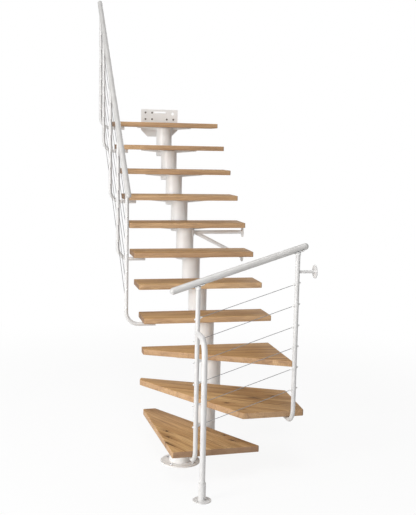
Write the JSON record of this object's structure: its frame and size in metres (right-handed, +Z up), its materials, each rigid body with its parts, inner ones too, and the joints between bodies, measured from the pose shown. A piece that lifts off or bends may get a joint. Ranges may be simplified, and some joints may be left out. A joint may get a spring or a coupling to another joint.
{
  "type": "modular staircase",
  "caption": "Open modular staircase: quarter-turn winders and a straight flight of timber treads on a steel column spine, with cable railings.",
  "frame": {"origin": "centre of the base flange's underside, on the lower floor", "axes": "+Z up; +Y along the climb of the straight flight, towards the upper floor; +X to the right of someone climbing it, towards the wall"},
  "size_m": [1.1009, 3.4904, 3.3274],
  "materials": {
    "oak": "satin oiled",
    "white_coat": "satin powder coat",
    "handrail_coat": "satin powder coat",
    "grey_plastic": "matte",
    "steel_cable": "stranded"
  },
  "bodies": {
    "root": {"base_flange": "white_coat", "column_module_1": "white_coat", "column_module_2": "white_coat", "column_module_3": "white_coat", "column_module_4": "white_coat", "column_module_5": "white_coat", "column_module_6": "white_coat", "column_module_7": "white_coat", "column_module_8": "white_coat", "column_module_9": "white_coat", "column_module_10": "white_coat", "column_module_11": "white_coat", "tread_1": "oak", "tread_2": "oak", "tread_3": "oak", "tread_4": "oak", "tread_5": "oak", "tread_6": "oak", "tread_7": "oak", "tread_8": "oak", "tread_9": "oak", "tread_10": "oak", "tread_11": "oak", "landing_plate": "white_coat", "wall_strut": "white_coat", "floor_post": "white_coat", "start_post": "white_coat", "end_post": "white_coat", "lower_handrail": "handrail_coat", "lower_rail_caps": "grey_plastic", "lower_cables": "steel_cable", "upper_post_1": "white_coat", "upper_post_2": "white_coat", "upper_post_3": "white_coat", "upper_post_4": "white_coat", "upper_post_5": "white_coat", "upper_handrail": "handrail_coat", "upper_rail_caps": "grey_plastic", "upper_cables": "steel_cable"}
  },
  "joints": []
}
